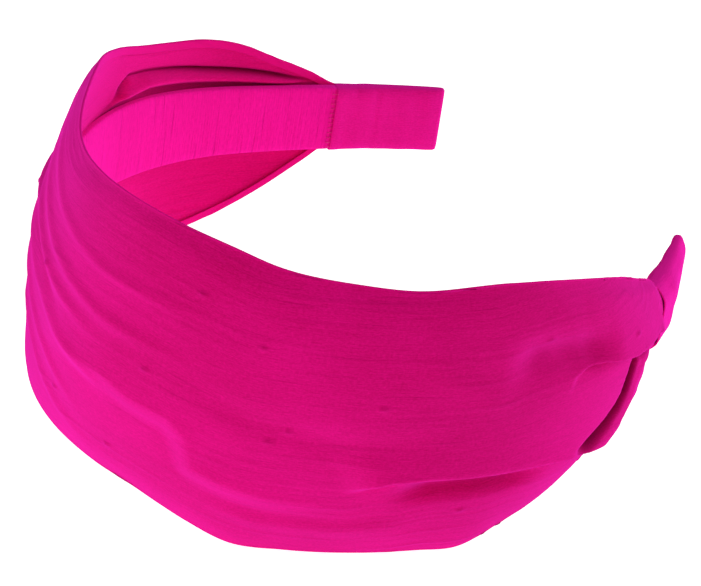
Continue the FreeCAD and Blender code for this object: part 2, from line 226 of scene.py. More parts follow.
CROWN_FOLD = (
    (-24, -6), (-5.4, -3.4), (7.4, -3.5), (15.2, -5.9), (24.4, -6.6), (28.6, -10.2),
    (30.6, -17.8), (37, -19.3), (45.4, -20.2), (54.4, -20.1), (70, -21.8),
)
LOWER_FOLD = (
    (60, -16), (69.4, -11.5), (76.4, -10.7), (83.8, -10.9), (92.6, -11), (102.6, -11.2),
    (113.2, -12.9), (123.6, -14.5), (136, -15.1), (150, -9),
)
LOWER_VALLEY = ((68, -17), (79, -14.8), (88, -14.6), (97, -14.8), (107, -14.8))
PUFF_FOLD = (
    (106, 3.5), (108.2, 8.7), (111.8, 10.1), (116.4, 10.2), (126.2, 8.0), (135.2, 6.6), (150, 3.5),
)
PUFF_HOLLOW = ((90, 14.0), (99, 14.4), (108, 14.0), (122, 12.0))
PLEAT_GAP = (
    (110, -12.8), (114.0, -11.6), (117.4, -10.3), (121.0, -8.7), (124.8, -6.4), (127.6, -4.0),
    (129.0, -0.9), (130.6, 2.0), (133, 4.2), (146, 3),
)
PLEAT_LIP = ((115, -15), (121, -13.8), (127, -11.2), (131.6, -7.6), (134, -3), (137, 0), (146, 0))

# Creases over the crown, each as (path, height, width).
CROWN_CREASES = (
    (((-62, 20), (-40, 19), (-18, 14), (6, 9), (30, 7)), 0.7, 1.7),
    (((-58, 14), (-36, 12), (-14, 7), (8, 3)), 0.8, 1.5),
    (((-60, 7), (-38, 4), (-18, 0), (2, -6), (16, -13)), 0.8, 1.9),
    (((-55, -1), (-34, -5), (-16, -12), (2, -21)), 0.7, 1.8),
    (((-50, -9), (-30, -15), (-12, -24), (4, -29)), 0.6, 2.0),
    (((-64, 27), (-42, 25.5), (-20, 22), (4, 19), (34, 18)), 0.5, 1.5),
    (((-45, 9.5), (-24, 6), (-6, 1)), -0.5, 1.2),
    (((28, -27), (44, -29), (60, -28), (78, -26)), 0.6, 2.6),
    (((24, 4), (40, -2), (60, -4), (84, -2)), -0.5, 3.2),
    (((70, 22), (84, 10), (96, 2)), 0.5, 4.0),
)
FLAP_FOLD = (
    (-88, 12.2), (-94, 14.0), (-104, 14.6), (-111, 13.8), (-123, 12.2), (-136, 10.8), (-147, 9.6),
    (-156, 8.6),
)
FLAP_GAP = (
    (-86, 10.6), (-90.5, 12.8), (-94, 15.6), (-97.6, 18.0), (-104, 17.2), (-111, 15.9), (-123, 13.7),
    (-136, 11.9), (-147, 10.2), (-156, 8.8),
)
UNDER_STRIP = ((-58, -12.2), (-75, -11.2), (-95, -10.4), (-125, -9.7), (-150, -9.2))

# Each fold's profile, its path and then the profile's other values: height, width (or edge and
# reach), and the shares of its length over which it starts and ends.
SASH_FOLDS = (
    (step, CROWN_FOLD, 1.7, 6.0, 9),
    (step, LOWER_FOLD, 2.9, 1.6, 8, 0.1, 0.1),
    (ridge, LOWER_VALLEY, -2.8, 2.6),
    (step, PUFF_FOLD, 3.0, 1.0, 11, 0.35, 0.1),
    (ridge, PUFF_HOLLOW, -2.8, 4.5),
    (ridge, PLEAT_GAP, -8.0, 1.3, 0.25, 0.2),
    (ridge, PLEAT_LIP, 0.7, 1.5, 0.3, 0.2),
    *((ridge, *crease) for crease in CROWN_CREASES),
)
LINING_FOLDS = (
    (ridge, FLAP_FOLD, -2.6, 1.5, 0.12, 0.2),
    (ridge, FLAP_GAP, 2.4, 0.8, 0.25, 0.25),
)
# The places where little light comes, given in the same way.
PLEAT_SHADE = ((ridge, PLEAT_GAP, 1.0, 1.7, 0.15, 0.1),)
SASH_SHADE = ((ridge, PUFF_HOLLOW, 0.15, 3.2), (ridge, LOWER_VALLEY, 0.15, 2.2))
LINING_SHADE = ((ridge, FLAP_GAP, 0.8, 0.5, 0.2, 0.2), (ridge, UNDER_STRIP, 0.6, 1.1, 0.05, 0.5))


def folded(along, up, folds):
    """How far these folds together stand out at a place on the cloth."""
    return sum(profile(along, up, *values) for profile, *values in folds)


GATHER_SEED = 5
GATHER_START = 0.72
GATHER_EASE = 0.2
GATHER_RISE = 0.12
GATHER_JITTER = 0.06
GATHER_DRIFT = 0.25
GATHER_WIDTH = (0.05, 0.08)
# How deep the gathers are, by (on the right half, above the middle).
GATHER_DEPTH = {(False, False): 0.8, (False, True): 0.8, (True, False): 0.35, (True, True): 0.0}


def gathers(along, share, seed, folds=11):
    """Narrow folds that run together into each cuff, between the sash's edges."""
    rng = np.random.default_rng(seed)
    t = np.abs(along) / CUFF_MOUTH
    growth = smooth((t - GATHER_START) / GATHER_EASE)
    depth = np.zeros(np.broadcast(along, share).shape)
    for side in (-1, 1):
        on_side = np.where(side * along > 0, 1.0, 0.0)
        jitter = rng.uniform(-GATHER_JITTER, GATHER_JITTER, folds)
        for middle in np.linspace(-0.85, 0.85, folds) + jitter:
            height = rng.uniform(0.3, 1.0) * GATHER_DEPTH[side > 0, middle > 0]
            start = rng.uniform(GATHER_START, 0.9)
            drift = rng.uniform(-GATHER_DRIFT, GATHER_DRIFT)
            width = rng.uniform(*GATHER_WIDTH)
            line = middle + drift * (1 - t)
            rise = on_side * height * smooth((t - start) / GATHER_RISE)
            depth += rise * np.exp(-((share - line) / width) ** 2)
    return depth * growth


# Slubs: the share of short ones, and the ranges of their measures in millimetres.
SHORT_SLUBS = 0.6
SHORT_SLUB = (2, 9)
LONG_SLUB = (9, 26)
SLUB_WIDTH = (0.28, 0.5)
SLUB_HEIGHT = (0.02, 0.08)


def slub_relief(lie, count, seed):
    """Thick places in the threads, as heights in millimetres over a grid of places on the cloth."""
    rng = np.random.default_rng(seed)
    along, run = lie[..., 0], lie[..., 1]
    relief = np.zeros(along.shape)
    column = along[:, 0]
    for _ in range(count):
        middle = rng.uniform(column[0], column[-1])
        level = rng.uniform(run.min(), run.max())
        length = rng.uniform(*(SHORT_SLUB if rng.uniform() < SHORT_SLUBS else LONG_SLUB))
        width = rng.uniform(*SLUB_WIDTH)
        height = rng.uniform(*SLUB_HEIGHT)
        first, last = np.searchsorted(column, (middle - 3 * length, middle + 3 * length))
        window = slice(first, last)
        reach = ((along[window] - middle) / length) ** 2 + ((run[window] - level) / width) ** 2
        relief[window] += height * np.exp(-reach)
    return relief


# ---------------------------------------------------------------------------------------------
# Meshes
# ---------------------------------------------------------------------------------------------

def mesh_object(name, points, quads, cloth, material, marks=None, triangles=()):
    """A mesh with its lie on the cloth, in millimetres, kept as the UV map "cloth", and with a value
    at each point for every name in marks, kept as attributes."""
    mesh = bpy.data.meshes.new(name)
    points = np.asarray(points, float).reshape(-1, 3)
    sizes = np.repeat([4, 3], [len(quads), len(triangles)])
    corners = np.concatenate([np.ravel(quads), np.ravel(triangles)]).astype(np.int32)
    mesh.vertices.add(len(points))
    mesh.vertices.foreach_set("co", points.ravel())
    mesh.loops.add(len(corners))
    mesh.loops.foreach_set("vertex_index", corners)
    mesh.polygons.add(len(sizes))
    mesh.polygons.foreach_set("loop_start", (np.cumsum(sizes) - sizes).astype(np.int32))
    mesh.update(calc_edges=True)
    mesh.validate()
    mesh.polygons.foreach_set("use_smooth", np.ones(len(mesh.polygons), bool))
    layer = mesh.uv_layers.new(name="cloth")
    corners = np.zeros(len(mesh.loops), np.int32)
    mesh.loops.foreach_get("vertex_index", corners)
    layer.data.foreach_set("uv", np.asarray(cloth, float).reshape(-1, 2)[corners].ravel())
    for mark, values in (marks or {}).items():
        attribute = mesh.attributes.new(mark, "FLOAT", "POINT")
        attribute.data.foreach_set("value", values.astype(np.float32))
    mesh.materials.append(material)
    obj = bpy.data.objects.new(name, mesh)
    bpy.context.scene.collection.objects.link(obj)
    return obj


def grid_faces(columns, rows, closed=False):
    """Quads of a grid whose points run row by row within each column."""
    i, j = np.meshgrid(np.arange(columns - 1), np.arange(rows if closed else rows - 1), indexing="ij")
    k = (j + 1) % rows
    quads = np.stack([i * rows + j, (i + 1) * rows + j, (i + 1) * rows + k, i * rows + k], -1)
    return quads.reshape(-1, 4)


def grid_normals(points):
    """Unit normals of a grid of points, on the side away from the band's axis at its middle."""
    normal = np.cross(np.gradient(points, axis=0), np.gradient(points, axis=1))
    return normal / np.maximum(np.linalg.norm(normal, axis=-1, keepdims=True), 1e-12)


def sheet_object(name, points, cloth, thickness, material, marks=None):
    """A closed sheet of cloth: the grid of points is its outer side."""
    columns, rows = points.shape[:2]
    inner = points - grid_normals(points) * thickness * MM
    count = columns * rows
    front = grid_faces(columns, rows)
    back = front[:, ::-1] + count
    ids = np.arange(count).reshape(columns, rows)
    ring = np.concatenate([ids[:-1, 0], ids[-1, :-1], ids[:0:-1, -1], ids[0, :0:-1]])
    following = np.roll(ring, -1)
    rim = np.stack([following, ring, ring + count, following + count], -1)
    faces = np.concatenate([front, back, rim])
    both = np.concatenate([points.reshape(-1, 3), inner.reshape(-1, 3)])
    lie = np.concatenate([cloth.reshape(-1, 2)] * 2)
    marks = {mark: np.concatenate([values.ravel()] * 2) for mark, values in (marks or {}).items()}
    return mesh_object(name, both, faces, lie, material, marks)


def wire_object(name, line, radius, material, sides=6):
    """A thread: a thin tube along a line of points in metres."""
    tangent = np.gradient(line, axis=0)
    tangent /= np.linalg.norm(tangent, axis=1, keepdims=True)
    first = np.cross(tangent, UPWARDS)
    first /= np.linalg.norm(first, axis=1, keepdims=True)
    second = np.cross(tangent, first)
    turn = np.arange(sides) * 2 * math.pi / sides
    ring = first[:, None] * np.cos(turn)[:, None] + second[:, None] * np.sin(turn)[:, None]
    sections = line[:, None] + ring * radius * MM
    lengths = np.concatenate([[0], np.cumsum(np.linalg.norm(np.diff(line, axis=0), axis=1))]) / MM
    cloth = np.stack(np.broadcast_arrays(lengths[:, None], turn * radius), -1)
    return closed_tube(name, sections, cloth, material)


def closed_tube(name, sections, cloth, material):
    """A tube through rings of points; each end is closed by a point in the middle of its ring."""
    columns, rows = sections.shape[:2]
    quads = grid_faces(columns, rows, True)
    ends = np.stack([sections[0].mean(0), sections[-1].mean(0)])
    points = np.concatenate([sections.reshape(-1, 3), ends])
    lie = np.concatenate([cloth.reshape(-1, 2), cloth[[0, -1], 0]])
    j = np.arange(rows)
    k = (j + 1) % rows
    last = (columns - 1) * rows
    start = np.stack([k, j, np.full(rows, columns * rows)], -1)
    finish = np.stack([last + j, last + k, np.full(rows, columns * rows + 1)], -1)
    return mesh_object(name, points, quads, lie, material, triangles=np.concatenate([start, finish]))


# ---------------------------------------------------------------------------------------------
# Materials
# ---------------------------------------------------------------------------------------------

class Nodes:
    """Short calls for building a material's node tree."""

    def __init__(self, name):
        self.material = bpy.data.materials.new(name)
        self.material.use_nodes = True
        self.tree = self.material.node_tree
        self.shader = self.tree.nodes["Principled BSDF"]

    def link(self, value, socket):
        if isinstance(value, bpy.types.NodeSocket):
            self.tree.links.new(value, socket)
        else:
            socket.default_value = value

    def node(self, kind, inputs=(), **settings):
        made = self.tree.nodes.new(kind)
        for key, value in settings.items():
            setattr(made, key, value)
        for key, value in dict(inputs).items():
            self.link(value, made.inputs[key])
        return made

    def math(self, operation, first, second=0.0):
        return self.node("ShaderNodeMath", {0: first, 1: second}, operation=operation).outputs[0]

    def stretched(self, coordinates, along, across, detail, offset):
        """Noise with these numbers of waves per millimetre along and across the cloth."""
        scaled = self.node(
            "ShaderNodeMapping",
            {"Vector": coordinates, "Scale": (along, across, 1.0), "Location": (offset, offset, 0.0)},
        )
        inputs = {"Vector": scaled.outputs[0], "Scale": 1.0, "Detail": detail}
        return self.node("ShaderNodeTexNoise", inputs).outputs["Fac"]

    def spotted(self, scale, detail):
        """Even noise over the object."""
        place_of = self.node("ShaderNodeTexCoord").outputs["Object"]
        inputs = {"Vector": place_of, "Scale": scale, "Detail": detail}
        return self.node("ShaderNodeTexNoise", inputs).outputs["Fac"]

    def mark(self, name):
        return self.node("ShaderNodeAttribute", attribute_name=name).outputs["Fac"]

    def times(self, value, factor):
        return self.math("MULTIPLY", value, factor)

    def total(self, *values):
        result = values[0]
        for value in values[1:]:
            result = self.math("ADD", result, value)
        return result

    def bump(self, strength, depth, height):
        """A surface normal for this relief, its depth in millimetres."""
        inputs = {"Strength": strength, "Distance": depth * MM, "Height": height}
        return self.node("ShaderNodeBump", inputs).outputs[0]

    def ramp(self, value, low, high, to_low=0.0, to_high=1.0):
        inputs = {
            "Value": value, "From Min": low, "From Max": high, "To Min": to_low, "To Max": to_high,
        }
        return self.node("ShaderNodeMapRange", inputs).outputs[0]

    def grain(self, noise, low, high):
        """The middle of a noise's range, stretched to run from low to high."""
        return self.ramp(noise, 0.3, 0.7, low, high)

    def blend_colour(self, share, first, second):
        mixed = self.node("ShaderNodeMix", data_type="RGBA")
        self.link(share, mixed.inputs[0])
        self.link(first, mixed.inputs[6])
        self.link(second, mixed.inputs[7])
        return mixed.outputs[2]

    def finish(self, **inputs):
        for key, value in inputs.items():
            self.link(value, self.shader.inputs[key.replace("_", " ")])
        return self.material


def linear(red, green, blue):
    """A colour given in the usual 0 to 255 steps, as the renderer takes it."""
    def one(step):
        share = step / 255
        return share / 12.92 if share <= 0.04045 else ((share + 0.055) / 1.055) ** 2.4
    return one(red), one(green), one(blue), 1.0


# The threads' noises, each as (waves per millimetre along, across, detail, offset).
WEFT = (0.05, 2.6, 4.0, 0.0)
FINE = (0.3, 4.0, 2.0, 5.0)
WARP = (6.0, 0.5, 2.0, 9.0)
SLUBS = (0.06, 1.1, 2.0, 17.0)
PATCHES = (0.03, 0.05, 2.0, 31.0)
WEAVE = (1.4, 3.2, 1.0, 43.0)


def silk(name, colour, deep, across_width=False, slub=1.0, streak=0.1):
    """Dupion silk: fine threads, irregular thick ones, and a sheen at glancing angles, partly a
    painted sheen blended into its colour. The mark "thick" darkens a slub; the reverse-side mark
    gives the hems and rolled edges the silk's reverse side, painted lighter as a painted highlight
    against their shade;
    and "fold" is deep in a fold, where little light comes, painted shade."""
    nodes = Nodes(name)
    lie = nodes.node("ShaderNodeUVMap", uv_map="cloth").outputs[0]
    if across_width:
        along, across = nodes.node("ShaderNodeSeparateXYZ", {0: lie}).outputs[:2]
        lie = nodes.node("ShaderNodeCombineXYZ", {0: across, 1: along}).outputs[0]
    weft, fine, warp, slubs, patches, weave = (
        nodes.stretched(lie, *noise) for noise in (WEFT, FINE, WARP, SLUBS, PATCHES, WEAVE)
    )
    thick = nodes.ramp(slubs, 0.60, 0.72)
    shade = nodes.total(
        nodes.grain(weft, 0.0, streak),
        nodes.grain(fine, 0.0, 0.26),
        nodes.grain(warp, 0.0, 0.15),
        nodes.ramp(weave, 0.35, 0.65, -0.1, 0.2),
        nodes.grain(patches, 0.0, 0.3),
    )
    body = nodes.blend_colour(shade, deep, colour)
    # The hems and rolled edges take the reverse side's colour, painted lighter than the face: a
    # painted highlight that lifts the shade on the rolled edges.
    body = nodes.blend_colour(nodes.mark("reverse_painted_lighter"), body, REVERSE_PAINTED_LIGHTER)
    marks = nodes.total(nodes.times(thick, 0.16 * slub), nodes.times(nodes.mark("thick"), 0.3))
    body = nodes.blend_colour(marks, body, tuple(0.62 * part for part in deep[:3]) + (1.0,))
    # The silk's colour turns towards the sheen's tint at glancing angles: a painted sheen.
    painted_sheen_share = nodes.node("ShaderNodeLayerWeight", {"Blend": 0.35}).outputs["Facing"]
    body = nodes.blend_colour(nodes.times(painted_sheen_share, 0.6), body, SHEEN)
    body = nodes.blend_colour(nodes.mark("fold"), body, FOLD_SHADE)
    relief = nodes.total(
        nodes.times(weft, 0.35),
        nodes.times(fine, 0.4),
        nodes.times(warp, 0.35),
        nodes.times(weave, 0.6),
        nodes.times(thick, 0.8 * slub),
    )
    return nodes.finish(
        Base_Color=body,
        Roughness=nodes.grain(weft, 0.42, 0.6),
        Specular_IOR_Level=0.0,
        Sheen_Weight=0.08,
        Sheen_Roughness=0.4,
        Sheen_Tint=SHEEN,
        Normal=nodes.bump(0.5, 0.08, relief),
    )


def thread_material(name, colour, deep):
    """Twisted sewing thread."""
    nodes = Nodes(name)
    place_of = nodes.node("ShaderNodeTexCoord").outputs["Object"]
    inputs = {"Vector": place_of, "Scale": 900.0, "Distortion": 2.0}
    twist = nodes.node("ShaderNodeTexWave", inputs).outputs["Fac"]
    body = nodes.blend_colour(twist, deep, colour)
    return nodes.finish(Base_Color=body, Roughness=0.55, Normal=nodes.bump(0.6, 0.05, twist))


def wadding_material(name):
    """Matted fibres."""
    nodes = Nodes(name)
    fibres = nodes.spotted(900.0, 6.0)
    body = nodes.blend_colour(fibres, linear(222, 216, 210), linear(244, 241, 238))
    return nodes.finish(Base_Color=body, Roughness=0.95, Normal=nodes.bump(0.7, 0.3, fibres))


def plastic_material(name):
    """Moulded plastic with a fine matt skin."""
    nodes = Nodes(name)
    skin = nodes.spotted(1500.0, 3.0)
    body = nodes.blend_colour(skin, linear(214, 214, 210), linear(228, 228, 224))
    return nodes.finish(Base_Color=body, Roughness=0.4, Normal=nodes.bump(0.15, 0.02, skin))


# The sheen's tint: used by the shader's sheen, and also blended into the silk's colour as a painted
# sheen.
SHEEN = linear(212, 44, 178)
# The silk's reverse side, painted lighter: a painted highlight on the hems and rolled edges.
REVERSE_PAINTED_LIGHTER = linear(228, 12, 124)
FOLD_SHADE = linear(84, 0, 28)
SASH_SILK = silk("sash_silk", linear(230, 15, 130), linear(184, 5, 82))
# The lining's and the cover's colours are lighter than the sash's: painted light that stands in for
# the light on the inside of the band.
LINING_SILK = silk("lining_silk", linear(240, 16, 136), linear(204, 6, 96))
COVER_SILK = silk(
    "cover_silk", linear(255, 24, 168), linear(218, 10, 124), True, slub=3.0, streak=0.45,
)
CUFF_SILK = silk("cuff_silk", linear(248, 26, 160), linear(212, 14, 122), slub=0.3)
THREAD = thread_material("thread", linear(244, 22, 152), linear(214, 10, 122))
WADDING = wadding_material("interlining")
PLASTIC = plastic_material("former_plastic")


# ---------------------------------------------------------------------------------------------
# Sash
# ---------------------------------------------------------------------------------------------

SASH_COLUMNS = 560
FACE_ROWS = 240
ROLL_ROWS = 7
HEM_ROWS = 8
SASH_REACH = CUFF_MOUTH * 1.05


def face_swell(along, lift):
    """How fully the face bulges at a height, from 0 at its edges to 1 at its middle."""
    power = SECTION_POWER + FILL_POWER * smooth((np.abs(along) - FILL_START) / FILL_REACH)
    flat = np.exp(-((along - FLAT_PLACE) / FLAT_REACH) ** 2)
    power = power - FLAT_POWER * flat * smooth(lift * 3)
    return 1 - np.abs(lift) ** power


def face_section(along, share, folds=True):
    """Offset and height of the sash's face; share runs from -1 at its lower edge to 1 at its top."""
    top, low, top_offset, low_offset, crest = outline(along)
    lift = np.sin(share * math.pi / 2)
    up = (top - low) / 2 + (top + low) / 2 * lift
    edge = low_offset + (top_offset - low_offset) * (lift + 1) / 2
    swell = face_swell(along, lift)
    out = edge + (crest - edge) * swell
    if folds:
        depth = folded(along, up, SASH_FOLDS) + gathers(along, share, GATHER_SEED)
        out = out + depth * smooth(swell * 3)
        out = np.maximum(out, lining_offset(along, up) + FOLD_ROOM * smooth(swell * 4))
    return out, up


def face_rows(along, folds=True):
    """The whole run of the face's cloth across the strip: hem, rolled edge, face, edge, hem."""
    share = np.linspace(-1, 1, FACE_ROWS)
    out, up = face_section(along[:, None], share[None, :], folds)
    turn = np.linspace(0, math.pi, ROLL_ROWS + 1)[1:]
    hem = np.linspace(0, HEM_DEPTH, HEM_ROWS + 1)[1:]
    pieces = []
    for edge, sign in ((0, -1), (-1, 1)):
        roll_out = out[:, [edge]] - EDGE_ROLL * (1 - np.cos(turn))
        roll_up = up[:, [edge]] + sign * EDGE_ROLL * np.sin(turn)
        hem_out = np.repeat(roll_out[:, [-1]], HEM_ROWS, 1)
        hem_up = roll_up[:, [-1]] - sign * hem
        side_out = np.concatenate([roll_out, hem_out], 1)
        side_up = np.concatenate([roll_up, hem_up], 1)
        pieces.append((side_out[:, ::sign], side_up[:, ::sign]))
    (low_out, low_up), (top_out, top_up) = pieces
    return np.concatenate([low_out, out, top_out], 1), np.concatenate([low_up, up, top_up], 1)


def arc_lengths(points):
    """How far each point of a grid lies along the cloth from the middle of its row of points."""
    gaps = np.linalg.norm(np.diff(points, axis=1), axis=-1) / MM
    run = np.concatenate([np.zeros((len(points), 1)), np.cumsum(gaps, 1)], 1)
    return run - run[:, [run.shape[1] // 2]]


def lie_of(along, points):
    run = arc_lengths(points)
    return np.stack([np.broadcast_to(along[:, None], run.shape), run], -1)


# Nubs in the sash's threads, as (distance along, height).
NUBS = (
    (26.4, 23.3), (48.2, -2.7), (102, 18.5), (-10.4, -19.7), (17.8, 2.1), (40.8, 15.6), (44.6, -6),
    (86, -22), (-18, 8), (66, 6), (-96, 12), (-120, -8), (128, 12), (-48, -14), (8, -24), (-74, 20),
    (-52, 24), (-50.5, 17), (-52.5, -1.5), (-51, -12), (-53, 9), (-49, -22),
)

# The settling of the face: its mesh, the scale and frames it runs at, the most a point may move in
# millimetres, the share of the width over which the movement grows from the edges, and what is held.
SETTLE_COLUMNS = 170
SETTLE_ROWS = 56
SETTLE_SCALE = 10.0
SETTLE_FRAMES = 20
SETTLE_CAP = 1.5
SETTLE_EASE = 0.34
EASE_PASSES = 3
HELD_ROWS = 2
HELD_COLUMNS = 5


def spread_matrix(fine, coarse):
    """The matrix that carries values at coarse places smoothly over to fine ones."""
    columns = []
    for unit in np.eye(len(coarse)):
        columns.append(spline(fine, np.stack([coarse, unit], 1)))
    return np.stack(columns, 1)


def settle(points):
    """Cloth simulation: the smooth face is pinned along its edges and in its cuffs, cut a little
    fuller than its outline and pressed out from inside. Returns how far each point moves."""
    count = points.shape[0] * points.shape[1]
    faces = grid_faces(*points.shape[:2])
    cloth_mesh = bpy.data.meshes.new("settling")
    cloth_mesh.from_pydata((points.reshape(-1, 3) * SETTLE_SCALE).tolist(), [], faces.tolist())
    obj = bpy.data.objects.new("settling", cloth_mesh)
    bpy.context.scene.collection.objects.link(obj)
    held = np.zeros(points.shape[:2])
    held[:, :HELD_ROWS] = 1
    held[:, -HELD_ROWS:] = 1
    held[:HELD_COLUMNS] = 1
    held[-HELD_COLUMNS:] = 1
    pins = obj.vertex_groups.new(name="held")
    for index in np.flatnonzero(held.ravel()):
        pins.add([int(index)], 1.0, "REPLACE")
    modifier = obj.modifiers.new("Cloth", "CLOTH")
    cloth = modifier.settings
    cloth.quality = 6
    cloth.mass = 0.25
    cloth.air_damping = 4
    cloth.tension_stiffness = 20
    cloth.compression_stiffness = 20
    cloth.shear_stiffness = 6
    cloth.bending_stiffness = 0.6
    cloth.vertex_group_mass = "held"
    cloth.shrink_min = -0.009
    cloth.use_pressure = True
    cloth.uniform_pressure_force = 3
    cloth.effector_weights.gravity = 0
    modifier.collision_settings.use_collision = False
    modifier.collision_settings.use_self_collision = False
    for step_number in range(1, SETTLE_FRAMES + 1):
        bpy.context.scene.frame_set(step_number)
    evaluated = obj.evaluated_get(bpy.context.evaluated_depsgraph_get())
    moved = np.zeros(count * 3)
    evaluated.data.vertices.foreach_get("co", moved)
    shift = moved.reshape(points.shape) / SETTLE_SCALE - points
    bpy.data.objects.remove(obj)
    bpy.context.scene.frame_set(1)
    size = np.linalg.norm(shift, axis=-1, keepdims=True)
    cap = SETTLE_CAP * MM
    print("settling moved the cloth by at most %.2f mm" % (size.max() / MM))
    return shift * cap * np.tanh(size / cap) / np.maximum(size, 1e-12)


def ease_columns(shift):
    """The shift without the shortest waves that the settling mesh's columns can hold."""
    for _ in range(EASE_PASSES):
        eased = (shift[:-2] + 2 * shift[1:-1] + shift[2:]) / 4
        shift = np.concatenate([shift[:1], eased, shift[-1:]])
    return shift


def settled_shift(along):
    """How far each point of the sash's grid moves as its smooth face settles."""
    out, up = face_rows(along, False)
    points = place(along[:, None], out, up)
    shift = np.zeros(points.shape)
    face = slice(ROLL_ROWS + HEM_ROWS, ROLL_ROWS + HEM_ROWS + FACE_ROWS)
    columns = np.unique(np.linspace(0, SASH_COLUMNS - 1, SETTLE_COLUMNS).astype(int))
    rows = np.unique(np.linspace(0, FACE_ROWS - 1, SETTLE_ROWS).astype(int))
    coarse = ease_columns(settle(points[:, face][np.ix_(columns, rows)]))
    to_columns = spread_matrix(np.arange(SASH_COLUMNS), columns)
    to_rows = spread_matrix(np.arange(FACE_ROWS), rows)
    share = np.linspace(-1, 1, FACE_ROWS)
    shift[:, face] = np.einsum("ac,crk,br->abk", to_columns, coarse, to_rows, optimize=True)
    shift[:, face] *= smooth((1 - np.abs(share)) / SETTLE_EASE)[None, :, None]
    return shift


SASH_SLUBS = 700
SASH_SEED = 21
NUB_HEIGHT = 0.4
NUB_LENGTH = 0.9
NUB_WIDTH = 0.5
FULL_MARK = 0.3
PLEAT_SHADE_SHIFT = 1.1


def make_sash():
    along = np.linspace(-SASH_REACH, SASH_REACH, SASH_COLUMNS)
    out, up = face_rows(along)
    points = place(along[:, None], out, up) + settled_shift(along)
    lie = lie_of(along, points)
    relief = slub_relief(lie, SASH_SLUBS, SASH_SEED)
    for place_at, height in NUBS:
        reach = ((along[:, None] - place_at) / NUB_LENGTH) ** 2 + ((up - height) / NUB_WIDTH) ** 2
        relief += NUB_HEIGHT * np.exp(-reach)
    points = points + grid_normals(points) * relief[..., None] * MM
    # The hems and rolled edges are marked as the silk's reverse side, painted lighter: a painted
    # highlight against the shade of the rolled edges.
    reverse_painted_lighter = np.ones(relief.shape)
    reverse_painted_lighter[:, HEM_ROWS + ROLL_ROWS:-HEM_ROWS - ROLL_ROWS] = 0
    across = along[:, None]
    fold = folded(across - PLEAT_SHADE_SHIFT, up, PLEAT_SHADE) + folded(across, up, SASH_SHADE)
    marks = {"thick": np.clip(relief / FULL_MARK, 0, 1), "reverse_painted_lighter": reverse_painted_lighter, "fold": fold}
    return sheet_object("silk_sash", points, lie, SILK_THICKNESS, SASH_SILK, marks)


LINING_COLUMNS = 420
LINING_ROWS = 160
LINING_SLUBS = 500
LINING_SEED = 33
LINING_BOW = 0.42
CAUGHT_HEIGHT = 7.5
CAUGHT_OFFSET = 2.0
STRIP_MARGIN = 1.6
STRIP_EASE = 1.2
STRIP_BACK = 1.9


def lining_offset(along, up):
    """The lining bows out between the hems, is caught down to the cover along its middle, and on
    the left arm lies in a flap fold over the top of the strip. It stays behind the face."""
    top, low, top_offset, low_offset, crest = outline(along)
    share = np.clip((2 * up - top + low) / (top + low), -1, 1)
    face_edge = low_offset + (top_offset - low_offset) * (share + 1) / 2
    swell = face_swell(along, share)
    limit = face_edge + (crest - face_edge) * swell - FOLD_ROOM * smooth(swell * 4)
    edge = face_edge - EDGE_ROLL + LINING_THICKNESS / 2
    bow = edge + LINING_BOW * (crest - edge) * (1 - share ** 2)
    caught = np.exp(-(up / CAUGHT_HEIGHT) ** 2)
    out = bow + (CAUGHT_OFFSET - bow) * caught
    out = out + folded(along, up, LINING_FOLDS)
    beside_strip = smooth((strip_half_width(along) + STRIP_MARGIN - np.abs(up)) / STRIP_EASE)
    out = np.minimum(out, limit)
    return np.maximum(out, STRIP_BACK * beside_strip + out * (1 - beside_strip))


def make_lining():
    along = np.linspace(-SASH_REACH, SASH_REACH, LINING_COLUMNS)
    share = np.linspace(-1, 1, LINING_ROWS)
    top, low = outline(along[:, None])[:2]
    up = (top - low) / 2 + (top + low - 2 * LINING_INSET) / 2 * share[None, :]
    out = lining_offset(along[:, None], up)
    points = place(along[:, None], out, up)
    lie = lie_of(along, points)
    relief = slub_relief(lie, LINING_SLUBS, LINING_SEED)
    points = points - grid_normals(points) * relief[..., None] * MM
    marks = {
        "thick": np.clip(relief / FULL_MARK, 0, 1),
        "fold": folded(along[:, None], up, LINING_SHADE),
    }
    return sheet_object("silk_lining", points, lie, LINING_THICKNESS, LINING_SILK, marks)


# The interlining: its mesh, where it starts to narrow and over what length, the shares of the sash's
# width it takes on the crown and on the arms, and its place between the lining and the face.
WADDING_REACH = CUFF_MOUTH * 0.98
WADDING_COLUMNS = 260
WADDING_ROWS = 70
WADDING_CROWN = 60
WADDING_EASE = 30
WADDING_CROWN_SHARE = 0.72
WADDING_ARM_SHARE = 0.30
WADDING_PLACE = 0.6


def make_wadding():
    """The interlining, a soft sheet behind the face: wide over the crown, narrow on the arms."""
    along = np.linspace(-WADDING_REACH, WADDING_REACH, WADDING_COLUMNS)
    narrowing = smooth((np.abs(along) - WADDING_CROWN) / WADDING_EASE)
    limit = WADDING_CROWN_SHARE + (WADDING_ARM_SHARE - WADDING_CROWN_SHARE) * narrowing
    share = np.linspace(-1, 1, WADDING_ROWS) * limit[:, None]
    face_out, up = face_section(along[:, None], share)
    lining_out = lining_offset(along[:, None], up)
    out = lining_out + WADDING_PLACE * (face_out - SILK_THICKNESS - lining_out)
    points = place(along[:, None], out, up)
    return sheet_object("wadding", points, lie_of(along, points), WADDING_THICKNESS, WADDING)


THREAD_POINTS = 500
SEAM_OFFSET = 1.7
SEAM_WANDER = 0.15
SEAM_BENDS = 1.3
# Thread radii.
HEM_THREAD = 0.08
SEAM_THREAD = 0.12
GATHER_THREAD = 0.13
STITCH_THREAD = 0.07


